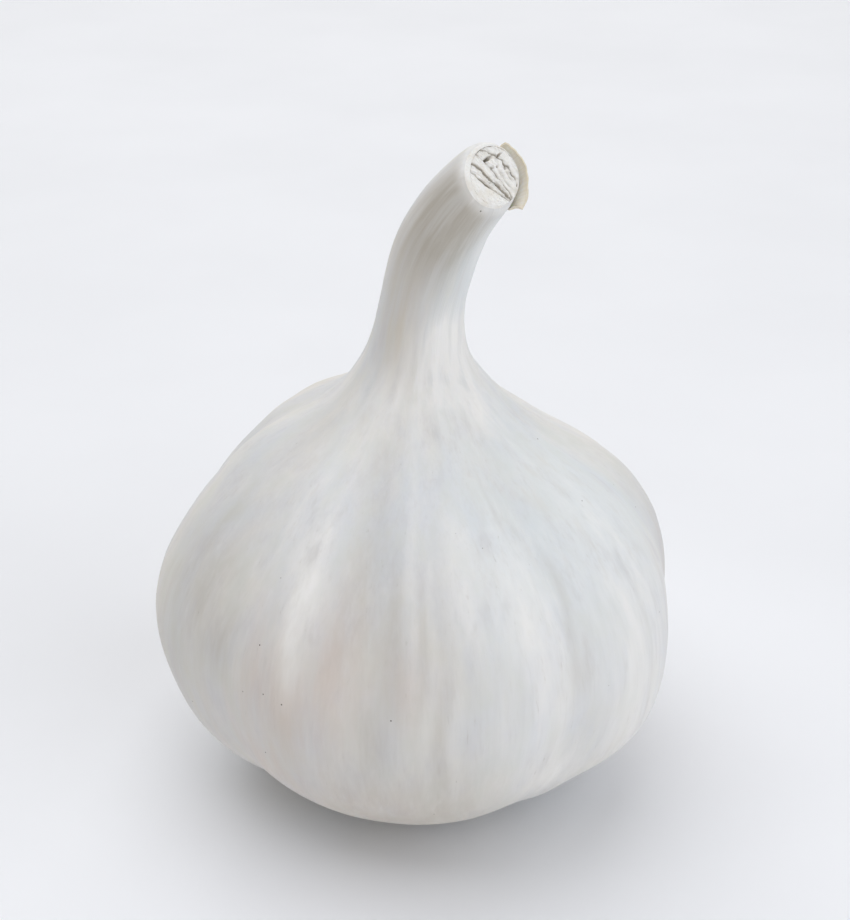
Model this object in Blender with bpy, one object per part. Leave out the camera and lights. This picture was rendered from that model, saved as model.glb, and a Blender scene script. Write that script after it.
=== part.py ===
"""A garlic bulb: cloves under a papery skin, a bent neck cut across, and a trimmed root plate.

Metres, +Z up. The origin is the middle of the flat on the root plate that the bulb rests on, and
+Z is the bulb's own axis. The neck leans to the right, +X, and forward, to -Y, and its cut end
looks forward. Angles round the bulb are measured from its front, -Y, towards its right, +X.
"""

import math

import bmesh
import bpy
from mathutils import Matrix, Vector

MM = 0.001

# Bulb
BULB_RADIUS = 30.0 * MM
BULB_HEIGHT = 50.0 * MM  # from the surface it rests on to where the neck begins
CLOVE_BULGE = 1.5 * MM  # how far the middle of a full clove stands out from the seams beside it
FOOT_CLEARANCE = 0.8 * MM  # least, from the cloves' undersides to the surface

# Root plate, in its hollow between the cloves' undersides
PLATE_RADIUS = 8.6 * MM
PLATE_FLAT_RADIUS = 6.4 * MM
PLATE_THICKNESS = 2.6 * MM
ROOT_RADIUS = 0.5 * MM
ROOT_REACH = 2.4 * MM  # how far a trimmed root stands out of the plate's slanted edge
ROOT_COUNT = 22

# Neck
NECK_RADIUS = 4.5 * MM  # low down, above where it flares into the bulb
NECK_RISE = 27.2 * MM  # from the top of the bulb to the middle of the cut
NECK_RIGHT = 7.4 * MM  # how far the middle of the cut stands to the right of the bulb's axis
NECK_FORWARD = 8.5 * MM
NECK_REACH = 10.1 * MM  # how long the neck holds the slant of its end
SLANT_FROM = 0.6  # the share of the neck above which its rings turn to lie along the cut
END_TILT = math.radians(45.7)  # of the neck's end from upright
END_TURN = math.radians(62.0)  # of that slant, from the front towards the right
CUT_TILT = math.radians(59.0)  # of the way the cut faces, from upright
CUT_TURN = math.radians(39.0)

# Leaf sheaths that show at the cut
SHEATH_WALL = 0.65 * MM  # the outer sheath's thickness
SOCKET_DEPTH = 3.5 * MM  # how far down the cut ends of the inner sheaths are modelled
LOOSE_WALL = 0.5 * MM
LOOSE_PROUD = 0.55 * MM  # how far the loose sheath stands past the cut
LOOSE_FLARE = 1.2 * MM  # how far its lower corner curls away from the neck
LOOSE_DOWN = 0.12  # how far down the neck it is kept, as a share of the neck
LOOSE_START = math.radians(66.0)  # where it starts and ends round the neck
LOOSE_END = math.radians(172.0)

# The inner sheaths lie pressed flat across the neck. Between each two is a bowed line: where it
# crosses the middle and how far it rises to the sides, in shares of the socket's radius.
SLICE_LEAN = math.radians(-63.0)  # of those lines across the cut
SLICE_LINES = ((-0.60, 0.12), (-0.24, 0.12), (0.10, 0.11), (0.64, -0.25))
# Each inner sheath from below the first line up, and how far its end stands out of the cut
SLICES = (
    ("front_sheath", 0.15 * MM),
    ("second_sheath", 0.03 * MM),
    ("third_sheath", 0.15 * MM),
    ("neck_core", 0.05 * MM),
    ("back_sheath", 0.15 * MM),
)
THIN_END = 0.12 * MM  # a sheath ends where it is thinner than this

FIT_GAP = 0.3 * MM  # between two pieces that touch

# The seams between the cloves, in degrees round the bulb, and how full the clove after each is:
# where the cloves meet the neck, and at their feet, where one thin clove has run out.
SHOULDER_CLOVES = (
    (-105.0, 1.1),
    (-46.0, 0.6),
    (-11.0, 1.0),
    (36.0, 1.0),
    (88.0, 0.9),
    (135.0, 1.0),
    (190.0, 1.1),
)
FOOT_CLOVES = (
    (-105.0, 1.0),
    (-46.0, 0.95),
    (36.0, 1.0),
    (88.0, 0.9),
    (135.0, 1.0),
    (190.0, 1.1),
)
SEAM_SHARPNESS = 2.2
BULGE_FULL = 0.14  # the share of the outline, from the hollow up, by which the cloves bulge fully
BULGE_ENDS = (0.47, 0.75)  # the shares between which the bulge dies out towards the neck
SHOULDER_SHIFT = 1.2 * MM  # how far the shoulder leans away from the side the neck bends to
SHOULDER = (0.87, 0.075)  # where it leans most, and how far from there, in shares of the height

# The outline from the cloves' undersides to the top of the bulb, in shares of its radius and
# height, and on up the neck, in shares of the neck's radius and its rise
BELLY = (
    (0.58, 0.060),
    (0.77, 0.140),
    (0.92, 0.260),
    (1.00, 0.430),
    (0.970, 0.570),
    (0.864, 0.690),
    (0.722, 0.785),
    (0.555, 0.865),
)
NECK = (
    (2.55, -0.12),
    (1.80, 0.0),
    (1.25, 0.15),
    (1.03, 0.36),
    (1.00, 0.60),
    (0.89, 0.82),
    (0.80, 1.0),
)

SIDES = 64  # round the bulb and the neck
OUTLINE_RINGS = 50
SLICE_STEPS = 16
LOOSE_STEPS = 20


def clear_scene():
    """Removes every object of the open scene."""
    for item in list(bpy.data.objects):
        bpy.data.objects.remove(item, do_unlink=True)


def material(name, colour, roughness):
    """A plain material of one colour, in linear red, green and blue."""
    made = bpy.data.materials.new(name)
    made.use_nodes = True
    shader = made.node_tree.nodes["Principled BSDF"]
    shader.inputs["Base Color"].default_value = (*colour, 1.0)
    shader.inputs["Roughness"].default_value = roughness
    shader.inputs["Metallic"].default_value = 0.0
    return made


def add_object(name, shape, finish):
    """Closes a bmesh into a named object with its faces pointing out."""
    bmesh.ops.recalc_face_normals(shape, faces=shape.faces)
    mesh = bpy.data.meshes.new(name)
    shape.to_mesh(mesh)
    shape.free()
    mesh.shade_smooth()
    mesh.set_sharp_from_angle(angle=math.radians(50))
    mesh.materials.append(finish)
    made = bpy.data.objects.new(name, mesh)
    bpy.context.scene.collection.objects.link(made)
    return made


def curve_through(points, count):
    """count + 1 points, evenly spaced in parameter, on a Catmull-Rom curve through the points."""
    knots = [2 * points[0] - points[1], *points, 2 * points[-1] - points[-2]]
    spans = len(points) - 1
    made = []
    for i in range(count + 1):
        along = i / count * spans
        k = min(int(along), spans - 1)
        t = along - k
        a, b, c, d = knots[k : k + 4]
        cubic = (3 * b - a - 3 * c + d) * t**3
        square = (2 * a - 5 * b + 4 * c - d) * t**2
        made.append(0.5 * (2 * b + (c - a) * t + square + cubic))
    return made


def ease(value):
    """0 below 0, 1 above 1, and a smooth step between."""
    value = min(max(value, 0.0), 1.0)
    return value * value * (3 - 2 * value)


def round_bulb(angle):
    """The level direction at an angle round the bulb."""
    return Vector((math.sin(angle), -math.cos(angle), 0))


# ------------------------------------------------------------------------------ bulb and neck


def clove_height(angle, cloves):
    """How far the skin stands out at an angle round the bulb: 0 at a seam, 1 on a full clove."""
    first = cloves[0][0]
    degrees = (math.degrees(angle) - first) % 360 + first
    k = max(i for i in range(len(cloves)) if cloves[i][0] <= degrees)
    seam, fullness = cloves[k]
    half = ((cloves[k + 1][0] if k + 1 < len(cloves) else first + 360) - seam) / 2
    return fullness * (1 - abs((degrees - seam - half) / half) ** SEAM_SHARPNESS)


def outline():
    """Points (radius, height) from the hollow's rim, under the cloves and up the neck.

    Above the top of the bulb the height is measured along the neck, in even steps of its curve.
    """
    hollow = PLATE_RADIUS + FIT_GAP
    foot = [
        Vector((hollow + 0.1 * MM, PLATE_THICKNESS * 0.8)),
        Vector((hollow + 0.9 * MM, FOOT_CLEARANCE + CLOVE_BULGE * 0.6)),
        Vector((hollow + 3.6 * MM, FOOT_CLEARANCE + CLOVE_BULGE * 0.5)),
    ]
    belly = [Vector((BULB_RADIUS * r, BULB_HEIGHT * h)) for r, h in BELLY]
    neck = [Vector((NECK_RADIUS * r, BULB_HEIGHT + NECK_RISE * h)) for r, h in NECK]
    return curve_through(foot + belly + neck, OUTLINE_RINGS)


def neck_radius(height):
    """The neck's radius at a height near its end, and on past its end."""
    (low, low_share), (high, high_share) = NECK[-2:]
    share = (height - BULB_HEIGHT) / NECK_RISE
    slope = (high - low) / (high_share - low_share)
    return NECK_RADIUS * max(high + slope * (share - high_share), high)


def slanting(tilt, turn):
    """The direction tilted from upright towards an angle round the bulb."""
    return round_bulb(turn) * math.sin(tilt) + Vector((0, 0, math.cos(tilt)))


def axis_point(height):
    """The point on the bulb's axis, or on the bent centreline of its neck and on past its end."""
    start = Vector((0, 0, BULB_HEIGHT))
    share = (height - BULB_HEIGHT) / NECK_RISE
    if share <= 0:
        return Vector((0, 0, height))
    slant = slanting(END_TILT, END_TURN)
    end = start + Vector((NECK_RIGHT, -NECK_FORWARD, NECK_RISE))
    if share >= 1:
        return end + slant * (share - 1) * NECK_REACH * 3
    low = start + Vector((0, 0, NECK_RISE / 3))
    high = end - slant * NECK_REACH
    left = 1 - share
    return (
        start * left**3 + low * 3 * left**2 * share + high * 3 * left * share**2 + end * share**3
    )


def axis_direction(height):
    """The way the axis or the neck's centreline points."""
    step = 0.05 * MM
    return (axis_point(height + step) - axis_point(height - step)).normalized()


def slide_to_cut(offset):
    """How far along the neck's end a point this far off its centreline goes to reach the cut."""
    normal = slanting(CUT_TILT, CUT_TURN)
    return -offset.dot(normal) / slanting(END_TILT, END_TURN).dot(normal)


def neck_point(angle, radius, height):
    """A point off the neck's centreline, on a ring that slants like the cut near its end."""
    along = axis_direction(height)
    turn = Vector((0, 0, 1)).rotation_difference(along)
    offset = turn @ round_bulb(angle) * radius
    share = (height - BULB_HEIGHT) / NECK_RISE
    slant = ease((share - SLANT_FROM) / (1 - SLANT_FROM))
    return axis_point(height) + offset + along * slide_to_cut(offset) * slant


def skin_ring(place, out, share):
    """One ring of the skin, at a point (radius, height) of the outline that faces out."""
    ends, gone = BULGE_ENDS
    swell = CLOVE_BULGE * ease(share / BULGE_FULL) * ease((gone - share) / (gone - ends))
    middle, width = SHOULDER
    shift = SHOULDER_SHIFT * math.exp(-(((place.y / BULB_HEIGHT - middle) / width) ** 2))
    ring = []
    for i in range(SIDES):
        angle = math.tau * i / SIDES
        foot, shoulder = clove_height(angle, FOOT_CLOVES), clove_height(angle, SHOULDER_CLOVES)
        up = ease((place.y / BULB_HEIGHT - 0.05) / 0.4)
        lift = swell * (foot + (shoulder - foot) * up - 0.6)
        point = neck_point(angle, place.x + out.x * lift, place.y)
        ring.append(point + Vector((-shift, 0, out.y * lift)))
    return ring


def cut_ring(radius, depth):
    """A round ring at the cut, at a depth below it along the neck's end."""
    down = slanting(END_TILT, END_TURN) * depth
    end = BULB_HEIGHT + NECK_RISE
    return [neck_point(math.tau * i / SIDES, radius, end) - down for i in range(SIDES)]


def bulb_rings():
    """Every ring of the bulb's surface, from its hollow to the floor of the neck's socket."""
    rings = []
    for share in (0.55, 1.0):
        radius = (PLATE_RADIUS + FIT_GAP) * share
        rings.append(level_ring(radius, PLATE_THICKNESS + FIT_GAP))
    places = outline()
    for k, place in enumerate(places[:-1]):
        before, after = places[max(k - 1, 0)], places[k + 1]
        out = Vector((after.y - before.y, before.x - after.x)).normalized()
        rings.append(skin_ring(place, out, k / OUTLINE_RINGS))
    radius = places[-1].x
    inner = radius - SHEATH_WALL
    rings.append(cut_ring(radius, SHEATH_WALL * 0.4))
    rings.append(cut_ring(radius - SHEATH_WALL * 0.3, 0))
    rings.append(cut_ring(inner + SHEATH_WALL * 0.15, 0))
    rings.append(cut_ring(inner, SHEATH_WALL * 0.3))
    rings.append(cut_ring(inner, SOCKET_DEPTH + FIT_GAP))
    return rings


def level_ring(radius, height):
    """A level ring round the bulb's axis."""
    return [
        round_bulb(math.tau * i / SIDES) * radius + Vector((0, 0, height)) for i in range(SIDES)
    ]


def loft(rings):
    """A closed body through rings of the same number of points, with both ends closed."""
    shape = bmesh.new()
    made = [[shape.verts.new(point) for point in ring] for ring in rings]
    sides = len(made[0])
    for lower, upper in zip(made, made[1:]):
        for i in range(sides):
            j = (i + 1) % sides
            shape.faces.new((lower[i], lower[j], upper[j], upper[i]))
    for ring in (made[0], made[-1]):
        middle = shape.verts.new(sum((v.co for v in ring), Vector()) / sides)
        for i in range(sides):
            shape.faces.new((ring[i], ring[(i + 1) % sides], middle))
    return shape


def add_bulb(finish):
    """The bulb and its neck, one body under one skin."""
    return add_object("bulb", loft(bulb_rings()), finish)


# -------------------------------------------------------------------------------- cut sheaths


def at_cut(across, up, depth):
    """The point across and up the cut, seen from in front of it, at a depth along the neck."""
    along = slanting(END_TILT, END_TURN)
    rise = (Vector((0, 0, 1)) - along * along.z).normalized()
    offset = rise.cross(along) * across + rise * up
    return axis_point(BULB_HEIGHT + NECK_RISE) + offset + along * (slide_to_cut(offset) - depth)


def slice_outline(k, radius):
    """The outline of the inner sheath between two lines, or between one and the socket's wall.

    The points run round it, first along its lower edge.
    """
    below, above = [], []
    for i in range(SLICE_STEPS + 1):
        share = -math.cos(math.pi * i / SLICE_STEPS)
        bottom, top = -math.sqrt(1 - share**2) * radius, math.sqrt(1 - share**2) * radius
        if k > 0:
            middle, rise = SLICE_LINES[k - 1]
            bottom = max(bottom, (middle + rise * share**2) * radius + FIT_GAP / 2)
        if k < len(SLICE_LINES):
            middle, rise = SLICE_LINES[k]
            top = min(top, (middle + rise * share**2) * radius - FIT_GAP / 2)
        if top - bottom > THIN_END:
            below.append((share * radius, bottom))
            above.append((share * radius, top))
    return below + above[::-1]


def add_slice(k, finish):
    """One inner sheath's cut end, standing in the neck's socket with a gap round it."""
    name, proud = SLICES[k]
    radius = NECK_RADIUS * NECK[-1][0] - SHEATH_WALL - FIT_GAP
    cos, sin = math.cos(SLICE_LEAN), math.sin(SLICE_LEAN)
    turned = [(x * cos - y * sin, x * sin + y * cos) for x, y in slice_outline(k, radius)]
    return add_object(name, loft_outline(turned, proud), finish)


def loft_outline(edge, proud):
    """A body with this edge, from the bottom of the socket to just above the cut."""
    middle_x = sum(x for x, _ in edge) / len(edge)
    middle_y = sum(y for _, y in edge) / len(edge)
    rings = []
    for shrink, depth in ((1.0, SOCKET_DEPTH), (1.0, 0.1 * MM - proud), (0.93, -proud)):
        ring = []
        for x, y in edge:
            across = middle_x + (x - middle_x) * shrink
            up = middle_y + (y - middle_y) * shrink
            ring.append(at_cut(across, up, depth))
        rings.append(ring)
    return loft(rings)


def add_loose_sheath(finish):
    """A torn strip of an older sheath, outside the neck round the right and the back of the cut."""
    shape = bmesh.new()
    rows = 6
    grid = []
    end = BULB_HEIGHT + NECK_RISE
    for i in range(LOOSE_STEPS + 1):
        share = i / LOOSE_STEPS
        middle = math.sin(math.pi * share) ** 0.6
        angle = LOOSE_START + (LOOSE_END - LOOSE_START) * share
        bottom = end - NECK_RISE * LOOSE_DOWN * (0.4 + 0.6 * middle)
        top = end + LOOSE_PROUD * middle
        thin = LOOSE_WALL * (0.6 + 0.4 * middle)
        columns = []
        for j in range(rows + 1):
            height = bottom + (top - bottom) * j / rows
            lift = FIT_GAP + LOOSE_FLARE * (j / rows) ** 2 * (1 - share) ** 2
            radius = neck_radius(height) + lift
            inner = neck_point(angle, radius, height)
            outer = neck_point(angle, radius + thin, height)
            columns.append((shape.verts.new(inner), shape.verts.new(outer)))
        grid.append(columns)
    for i in range(LOOSE_STEPS):
        for j in range(rows):
            for side in (0, 1):
                a, b = grid[i][j][side], grid[i + 1][j][side]
                c, d = grid[i + 1][j + 1][side], grid[i][j + 1][side]
                shape.faces.new((a, b, c, d))
        for j in (0, rows):
            here, there = grid[i][j], grid[i + 1][j]
            shape.faces.new((here[0], here[1], there[1], there[0]))
    for i in (0, LOOSE_STEPS):
        for j in range(rows):
            lower, upper = grid[i][j], grid[i][j + 1]
            shape.faces.new((lower[0], lower[1], upper[1], upper[0]))
    return add_object("loose_sheath", shape, finish)


# --------------------------------------------------------------------------------- root plate


def add_roots(finish):
    """The trimmed roots, as one helper body that the root plate takes in."""
    shape = bmesh.new()
    seat = (PLATE_RADIUS + PLATE_FLAT_RADIUS) / 2
    for i in range(ROOT_COUNT):
        wobble = math.sin(i * 2.4)
        out = round_bulb(math.tau * i / ROOT_COUNT + 0.05 * wobble)
        slope = (out * (1.0 + 0.25 * wobble) + Vector((0, 0, -1))).normalized()
        start = out * (seat - 0.5 * MM) + Vector((0, 0, PLATE_THICKNESS * 0.55))
        length = ROOT_REACH * (0.85 + 0.15 * math.sin(i * 3.7))
        length = min(length, (start.z - ROOT_RADIUS) / -slope.z)
        turn = Vector((0, 0, 1)).rotation_difference(slope).to_matrix().to_4x4()
        place = Matrix.Translation(start + slope * length / 2) @ turn
        bmesh.ops.create_cone(
            shape,
            cap_ends=True,
            segments=6,
            radius1=ROOT_RADIUS,
            radius2=ROOT_RADIUS * 0.7,
            depth=length,
            matrix=place,
        )
    made = add_object("roots_helper", shape, finish)
    made.hide_render = True
    made.display_type = "WIRE"
    return made


def add_root_plate(finish):
    """The plate that the cloves and roots grow from, flat below where the bulb rests on it."""
    rings = [
        level_ring(PLATE_FLAT_RADIUS, 0.0),
        level_ring(PLATE_RADIUS, PLATE_THICKNESS * 0.45),
        level_ring(PLATE_RADIUS, PLATE_THICKNESS * 0.8),
        level_ring(PLATE_RADIUS - 0.6 * MM, PLATE_THICKNESS),
    ]
    made = add_object("root_plate", loft(rings), finish)
    join = made.modifiers.new("roots", "BOOLEAN")
    join.operation = "UNION"
    join.solver = "EXACT"
    join.object = add_roots(finish)
    return made


def main():
    """Builds every piece of the bulb where it grew."""
    clear_scene()
    skin = material("papery_skin", (0.74, 0.72, 0.68), 0.55)
    flesh = material("cut_sheath", (0.80, 0.77, 0.70), 0.7)
    straw = material("dry_sheath", (0.72, 0.63, 0.47), 0.6)
    root = material("root_plate", (0.42, 0.32, 0.22), 0.85)
    add_bulb(skin)
    for k in range(len(SLICES)):
        add_slice(k, flesh)
    add_loose_sheath(straw)
    add_root_plate(root)


main()
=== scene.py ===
"""A whole white garlic bulb: its papery skin, its cut neck and its root plate.

Everything is in metres, +Z up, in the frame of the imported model: the origin is the middle of the
flat that the bulb rests on. Angles round the bulb are measured from its front, -Y, towards its
right, +X. The skin, the sheaths at the cut and the root plate are each modelled again, finer, in
the place of their plain solids.
"""

from __future__ import annotations

import logging
import math
from dataclasses import dataclass
from enum import Enum

import bpy
import numpy as np
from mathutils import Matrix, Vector

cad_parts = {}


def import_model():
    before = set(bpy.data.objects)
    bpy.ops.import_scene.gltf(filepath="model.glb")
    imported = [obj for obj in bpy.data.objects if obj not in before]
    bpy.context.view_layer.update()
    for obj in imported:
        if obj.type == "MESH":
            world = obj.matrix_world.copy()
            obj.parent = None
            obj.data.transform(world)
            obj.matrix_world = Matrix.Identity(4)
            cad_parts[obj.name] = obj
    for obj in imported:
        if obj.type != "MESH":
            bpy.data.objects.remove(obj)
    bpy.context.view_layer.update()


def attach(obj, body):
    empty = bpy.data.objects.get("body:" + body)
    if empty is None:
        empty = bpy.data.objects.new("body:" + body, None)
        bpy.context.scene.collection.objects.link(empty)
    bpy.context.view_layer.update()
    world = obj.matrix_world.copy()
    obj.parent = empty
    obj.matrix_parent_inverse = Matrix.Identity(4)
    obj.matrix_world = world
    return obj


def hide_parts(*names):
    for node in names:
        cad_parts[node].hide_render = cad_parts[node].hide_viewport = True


MM = 0.001
BODY = "root"
log = logging.getLogger("garlic")


# ------------------------------------------------------------------------------ small helpers


def linear(colour: str) -> tuple[float, float, float, float]:
    """Turns an sRGB hex colour, "#RRGGBB", to linear red, green, blue and a full alpha."""
    parts = [int(colour[i : i + 2], 16) / 255 for i in (1, 3, 5)]
    red, green, blue = (p / 12.92 if p <= 0.04045 else ((p + 0.055) / 1.055) ** 2.4 for p in parts)
    return red, green, blue, 1.0


def ease(value: np.ndarray | float) -> np.ndarray:
    """Gives 0 below 0, 1 above 1, and a smooth step between."""
    value = np.clip(value, 0.0, 1.0)
    return value * value * (3 - 2 * value)


def hump(value: np.ndarray, middle: float, width: float) -> np.ndarray:
    """Gives a smooth hump that is 1 at its middle and nearly 0 two widths from it."""
    return np.exp(-(((value - middle) / width) ** 2))


def round_bulb(angle: np.ndarray) -> np.ndarray:
    """Gives the level directions at angles round the bulb, as rows of x, y and z."""
    angle = np.asarray(angle, float)
    return np.stack([np.sin(angle), -np.cos(angle), np.zeros_like(angle)], axis=-1)


def slanting(tilt: float, turn: float) -> np.ndarray:
    """Gives the direction tilted from upright towards an angle round the bulb."""
    return round_bulb(turn) * math.sin(tilt) + np.array([0.0, 0.0, math.cos(tilt)])


def level_pair(angle: np.ndarray) -> np.ndarray:
    """Gives the cosines and sines of angles, as rows of two."""
    return np.stack([np.cos(angle), np.sin(angle)], axis=-1)


@dataclass(frozen=True)
class Ripple:
    """Smooth relief made of waves of random direction, seamless round the bulb.

    Args:
        seed: Picks the waves.
        turns: The fewest and the most waves round the bulb.
        reach: The shortest wave along the skin.
        waves: How many waves are added.
    """

    seed: int
    turns: tuple[int, int]
    reach: float
    waves: int = 18

    def at(self, angle: np.ndarray, along: np.ndarray) -> np.ndarray:
        """Gives the relief at points of the skin, mostly between -1 and 1.

        Args:
            angle: The points' angles round the bulb.
            along: How far along the skin they are.

        Returns:
            The relief, in the two arrays' common shape.
        """
        rng = np.random.default_rng(self.seed)
        turns = rng.integers(self.turns[0], self.turns[1] + 1, self.waves)
        rates = rng.uniform(-1, 1, self.waves) * math.tau / self.reach
        phases = rng.uniform(0, math.tau, self.waves)
        total = sum(np.cos(m * angle + q * along + p) for m, q, p in zip(turns, rates, phases))
        return total / math.sqrt(self.waves / 2) / 1.6


def plug(tree: bpy.types.NodeTree, node: bpy.types.Node, inputs: dict | tuple) -> None:
    """Sets or links a node's inputs.

    Args:
        tree: The tree that it is in.
        node: The node.
        inputs: Values or other nodes' outputs, by an input's name or number, or in order.
    """
    for key, value in inputs.items() if isinstance(inputs, dict) else enumerate(inputs):
        if isinstance(value, bpy.types.NodeSocket):
            tree.links.new(value, node.inputs[key])
        else:
            node.inputs[key].default_value = value


def add_node(
    tree: bpy.types.NodeTree, kind: str, inputs: dict | tuple = (), **settings: object
) -> bpy.types.NodeOutputs:
    """Adds a node with its settings and its inputs.

    Args:
        tree: The tree that it goes in.
        kind: The node's type name, after its "ShaderNode".
        inputs: Values or other nodes' outputs, by an input's name or number, or in order.
        **settings: The node's own properties.

    Returns:
        The new node's outputs.
    """
    node = tree.nodes.new("ShaderNode" + kind)
    for name, value in settings.items():
        setattr(node, name, value)
    plug(tree, node, inputs)
    return node.outputs


def add_piece(
    name: str,
    points: np.ndarray,
    faces: list[tuple[int, ...]],
    finish: bpy.types.Material,
    stands_for: tuple[str, ...] = (),
) -> bpy.types.Object:
    """Makes one smooth-shaded piece that rides on the bulb.

    Args:
        name: The piece's name.
        points: Its vertices, one row each.
        faces: The corners of its faces, as rows of points.
        finish: Its material.
        stands_for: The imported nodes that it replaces.

    Returns:
        The new object.
    """
    mesh = bpy.data.meshes.new(name)
    mesh.from_pydata([tuple(p) for p in points], [], faces)
    mesh.validate()
    mesh.shade_smooth()
    mesh.set_sharp_from_angle(angle=math.radians(60.0))
    mesh.materials.append(finish)
    piece = bpy.data.objects.new(name, mesh)
    bpy.context.scene.collection.objects.link(piece)
    if stands_for:
        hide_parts(*stands_for)
    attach(piece, BODY)
    log.info("%s: %d points, %d faces", name, len(mesh.vertices), len(mesh.polygons))
    return piece


class Mark(Enum):
    """What a piece's points keep for its finish to read."""

    GRAIN = "grain"  # the skin unrolled: round it, and along it from root to cut
    CALM = "calm"  # 1 where the streaks are faint
    # painted shade: where this is 1 the cut's finish is painted dark brown
    HOLLOW_SHADE = "hollow"  # 1 down in a slit, a hole or the socket
    EDGE = "edge"  # 1 at a dried edge
    WARMTH = "warmth"
    BLUSH = "blush"
    # painted shade: 1 where the skin is painted darker, on the neck's underside, in the seams and
    # valleys and low on the front
    PAINTED_SHADE = "grey_for_streaks_and_painted_shade"
    # painted cool cast of the light that falls on the right side
    COOL_LIGHT_CAST = "painted_cool_cast"
    # painted light: 1 where the skin is painted paler, on the lit ridge at -29 degrees, the flare
    # under the neck and the lit right side; at the cut rim it is partly the rim's own paler colour
    PAINTED_LIGHT = "light"


def keep(piece: bpy.types.Object, mark: Mark, values: np.ndarray) -> None:
    """Keeps one number or one vector with each of a piece's points."""
    kind, field_name = ("FLOAT", "value") if values.ndim == 1 else ("FLOAT_VECTOR", "vector")
    made = piece.data.attributes.new(mark.value, kind, "POINT")
    made.data.foreach_set(field_name, np.ascontiguousarray(values, np.float32).ravel())


def keep_rings(piece: bpy.types.Object, mark: Mark, values: np.ndarray) -> None:
    """Keeps a closed tube's numbers or vectors, given ring by ring, with its points and ends."""
    ends = values[[0, -1]].mean(axis=1)
    keep(piece, mark, np.concatenate([values.reshape(-1, *values.shape[2:]), ends]))


def tube_faces(rings: int, sides: int, start: int = 0) -> list[tuple[int, ...]]:
    """Gives the faces between rings of points, each ring closed on itself.

    Args:
        rings: How many rings there are.
        sides: How many points each has.
        start: The number of the first ring's first point.

    Returns:
        Four corners for each face.
    """
    faces = []
    for low in range(start, start + (rings - 1) * sides, sides):
        for i in range(sides):
            j = (i + 1) % sides
            faces.append((low + i, low + j, low + sides + j, low + sides + i))
    return faces


def closed_tube(
    rings: np.ndarray, low_end: np.ndarray, high_end: np.ndarray
) -> tuple[np.ndarray, list[tuple[int, ...]]]:
    """Closes a stack of rings with a fan of faces at either end.

    Args:
        rings: The rings' points, from the bottom up.
        low_end: The point in the middle of the lowest ring.
        high_end: The same for the highest.

    Returns:
        The points, and the corners of the faces.
    """
    count, sides = rings.shape[:2]
    low, last = count * sides, (count - 1) * sides
    faces = tube_faces(count, sides)
    faces += [(low, (i + 1) % sides, i) for i in range(sides)]
    faces += [(low + 1, last + i, last + (i + 1) % sides) for i in range(sides)]
    return np.concatenate([rings.reshape(-1, 3), [low_end, high_end]]), faces


def slab(front: np.ndarray, back: np.ndarray) -> tuple[np.ndarray, list[tuple[int, ...]]]:
    """Closes two sheets of points, one behind the other, into one thin solid.

    Args:
        front: The rows and columns of the sheet whose face looks out.
        back: The same for the sheet behind it.

    Returns:
        The points, and the corners of the faces.
    """
    rows, columns = front.shape[:2]
    count = rows * columns
    faces = []
    for i in range(rows - 1):
        for j in range(columns - 1):
            a = i * columns + j
            quad = (a, a + 1, a + columns + 1, a + columns)
            faces.append(quad)
            faces.append(tuple(count + p for p in reversed(quad)))
    edge = list(range(columns))
    edge += [i * columns + columns - 1 for i in range(1, rows)]
    edge += [(rows - 1) * columns + j for j in range(columns - 2, -1, -1)]
    edge += [i * columns for i in range(rows - 2, 0, -1)]
    for a, b in zip(edge, edge[1:] + edge[:1]):
        faces.append((b, a, count + a, count + b))
    return np.concatenate([front.reshape(-1, 3), back.reshape(-1, 3)]), faces


# ------------------------------------------------------------------------------------ finishes


def new_finish(name: str) -> tuple[bpy.types.Material, bpy.types.NodeTree]:
    """Makes a material with one plain shader, and gives it and its tree."""
    made = bpy.data.materials.new(name)
    made.use_nodes = True
    return made, made.node_tree


def dress(
    tree: bpy.types.NodeTree,
    inputs: dict[str, object],
    relief: tuple[tuple[bpy.types.NodeSocket, float, float], ...] = (),
) -> None:
    """Gives a finish its colour, its other qualities and its fine relief.

    Args:
        tree: The finish's tree.
        inputs: The shader's inputs, by name.
        relief: What stands out of it: each pattern, how strongly, and how high it is.
    """
    below: dict[str, object] = {}
    for pattern, strongly, high in relief:
        raised = {"Height": pattern, "Strength": strongly, "Distance": high}
        below = {"Normal": add_node(tree, "Bump", raised | below)["Normal"]}
    plug(tree, tree.nodes["Principled BSDF"], inputs | below)


def streaks(
    tree: bpy.types.NodeTree, width: float, length: float, detail: float, place: float
) -> bpy.types.NodeSocket:
    """Adds streaks that run along the skin from the roots to the cut.

    Args:
        tree: The tree that they go in.
        width: The real width of a streak where the bulb is widest, in metres.
        length: Its real length.
        detail: How many finer layers lie on it.
        place: Which part of the noise is used.

    Returns:
        The streaks' value, about 0.5 on the whole.
    """
    grain = add_node(tree, "Attribute", attribute_name=Mark.GRAIN.value)["Vector"]
    shift, scale = (place, place * 2, place * 3), (1 / width, 1 / width, 1 / length)
    laid = add_node(tree, "Mapping", {"Vector": grain, "Location": shift, "Scale": scale})
    look = {"Vector": laid["Vector"], "Scale": 1.0, "Detail": detail, "Roughness": 0.55}
    return add_node(tree, "TexNoise", look)["Fac"]


def mottle(tree: bpy.types.NodeTree, size: float, detail: float) -> bpy.types.NodeSocket:
    """Adds a mottle that is even in every direction.

    Args:
        tree: The tree that it goes in.
        size: The real size of its spots, in metres.
        detail: How many finer layers lie on them.

    Returns:
        The mottle's value, about 0.5 on the whole.
    """
    place = add_node(tree, "TexCoord")["Object"]
    return add_node(tree, "TexNoise", {"Vector": place, "Scale": 1 / size, "Detail": detail})["Fac"]


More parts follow.
